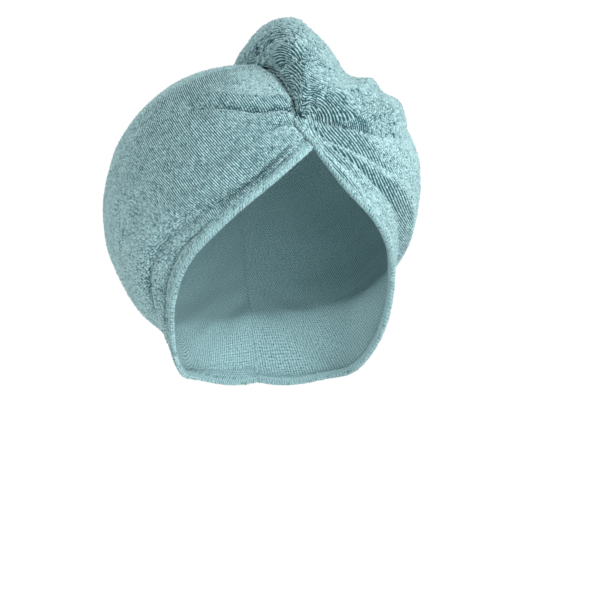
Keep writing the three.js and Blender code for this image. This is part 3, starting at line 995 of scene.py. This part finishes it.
def pileMaterial():
    material, shader = newMaterial("terry pile", terry["roughness"], terry["sheen"])
    toneAndShade = addNode(material, "ShaderNodeAttribute", attribute_name="toneAndShade")
    place = addNode(material, "ShaderNodeTexCoord")
    patch = addNode(material, "ShaderNodeTexNoise")
    patch.inputs["Scale"].default_value = patches["scale"]
    patch.inputs["Detail"].default_value = patches["detail"]
    join(material, place.outputs["Object"], patch.inputs["Vector"])
    spread = patches["spread"]
    drift = calculate(material, "MULTIPLY_ADD", patch.outputs["Fac"], spread, -spread / 2)
    share = calculate(material, "ADD", toneAndShade.outputs["Fac"], drift)
    # dark at each tuft's base and light at its ridge, from the tone attribute: painted shade between the
    # loops and painted light on their tops; the noise patches are random tone
    colour = blendColour(material, share, terry["dark"], terry["light"])
    join(material, colour, shader.inputs["Base Color"])
    return material


def ribMaterial(name, low, high, bump):
    material, shader = newMaterial(name, terry["roughness"], terry["sheen"])
    uv = addNode(material, "ShaderNodeUVMap", uv_map="cloth")
    split = addNode(material, "ShaderNodeSeparateXYZ")
    join(material, uv.outputs[0], split.inputs[0])
    wobble = addNode(material, "ShaderNodeTexNoise")
    wobble.inputs["Scale"].default_value = weave["wobble"]
    join(material, uv.outputs[0], wobble.inputs["Vector"])
    swing = calculate(material, "MULTIPLY", wobble.outputs["Fac"], weave["swing"])
    rate = 2 * np.pi / pile["ribPitch"]
    ribs = calculate(material, "MULTIPLY_ADD", split.outputs[0], rate, swing)
    ribs = calculate(material, "SINE", ribs)
    loops = calculate(material, "MULTIPLY_ADD", split.outputs[1], 2 * np.pi / pile["loopPitch"], swing)
    loops = calculate(material, "SINE", loops)
    speck = addNode(material, "ShaderNodeTexNoise")
    speck.inputs["Scale"].default_value = weave["speck"]
    speck.inputs["Detail"].default_value = weave["detail"]
    join(material, uv.outputs[0], speck.inputs["Vector"])
    height = calculate(material, "MULTIPLY_ADD", ribs, weave["ribs"], 0.5)
    height = calculate(material, "MULTIPLY_ADD", loops, weave["loops"], height)
    specks = weave["specks"]
    drift = calculate(material, "MULTIPLY_ADD", speck.outputs["Fac"], specks, -specks / 2)
    height = calculate(material, "ADD", height, drift)
    # the colour follows the bump's height: painted shade in the dips between ribs and loops, painted light
    # on their tops
    join(material, blendColour(material, height, low, high), shader.inputs["Base Color"])
    relief = addNode(material, "ShaderNodeBump")
    relief.inputs["Strength"].default_value = 1.0
    relief.inputs["Distance"].default_value = bump
    join(material, height, relief.inputs["Height"])
    join(material, relief.outputs[0], shader.inputs["Normal"])
    return material


tufts = pileMaterial()
# the cloth under the pile is coloured dark throughout as painted shade; the inner faces and hems get the
# patterned colour with painted shade in its dips
shadedGround = ribMaterial("terry ground", terry["dark"], terry["shadedGround"], terry["bump"])
face = ribMaterial("terry inner face", terry["hollowShade"], terry["light"], terry["bump"])
for piece in piles:
    piece.data.materials.append(tufts)
for piece in (underShell, overShell, tailPiece):
    piece.data.materials.append(shadedGround)
    piece.data.materials.append(face)
for piece in (underHem, overHem):
    piece.data.materials.append(face)
yarn, yarnShader = newMaterial("overlock thread", thread["roughness"])
yarnShader.inputs["Base Color"].default_value = (*terry["thread"], 1)
for piece in threads:
    piece.data.materials.append(yarn)
strap, strapShader = newMaterial("woven elastic", elastic["roughness"])
strapShader.inputs["Base Color"].default_value = (*elastic["colour"], 1)
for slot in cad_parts["nape_loop"].material_slots:
    slot.material = strap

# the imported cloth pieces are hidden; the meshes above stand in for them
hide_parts("under_panel")
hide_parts("over_panel")
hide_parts("under_panel_hem")
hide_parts("over_panel_hem")
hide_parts("twisted_tail")

# floor, light and camera
studio = {
    "floorDrop": 1.5,
    "floorSize": 14,
    "floor": (0.9, 0.9, 0.9),
    "floorRoughness": 0.9,
    "sky": 1.02,
    "lampsAim": (0, 0, -0.09),
}
floorMesh = bpy.data.meshes.new("floor")
half = studio["floorSize"] / 2
corners = [(-half, -half), (half, -half), (half, half), (-half, half)]
floorMesh.from_pydata([(x, y, -studio["floorDrop"]) for x, y in corners], [], [(0, 1, 2, 3)])
floor = bpy.data.objects.new("floor", floorMesh)
bpy.context.scene.collection.objects.link(floor)
floorLook, floorShader = newMaterial("pale floor", studio["floorRoughness"])
floorShader.inputs["Base Color"].default_value = (*studio["floor"], 1)
floorMesh.materials.append(floorLook)

world = bpy.data.worlds.new("studio")
world.use_nodes = True
world.node_tree.nodes["Background"].inputs["Color"].default_value = (1, 1, 1, 1)
world.node_tree.nodes["Background"].inputs["Strength"].default_value = studio["sky"]
bpy.context.scene.world = world

lamps = [  # name, place, size, power
    ("key", (0.72, -2.2, 0.45), 2.2, 54),
    ("fill", (-0.6, -2.3, -0.2), 2.0, 4),
]
for name, place, size, power in lamps:
    light = bpy.data.lights.new(name, "AREA")
    light.shape = "DISK"
    light.size = size
    light.energy = power
    lamp = bpy.data.objects.new(name, light)
    lamp.location = place
    aim = Vector(studio["lampsAim"]) - Vector(place)
    lamp.rotation_euler = aim.to_track_quat("-Z", "Y").to_euler()
    bpy.context.scene.collection.objects.link(lamp)

camera = {"turn": -9, "distance": 1800, "aside": 16, "height": -150, "lens": 165, "sensor": 36}
turn = np.radians(camera["turn"])
back = np.array([np.sin(turn), -np.cos(turn), 0])
right = np.array([np.cos(turn), np.sin(turn), 0])
eye = back * camera["distance"] + right * camera["aside"] + np.array([0, 0, camera["height"]])
lens = bpy.data.cameras.new("camera")
lens.lens = camera["lens"]
lens.sensor_width = camera["sensor"]
view = bpy.data.objects.new("camera", lens)
view.location = eye * mm
view.rotation_euler = Vector(-back).to_track_quat("-Z", "Y").to_euler()
bpy.context.scene.collection.objects.link(view)
bpy.context.scene.camera = view
bpy.context.scene.view_settings.view_transform = "Standard"
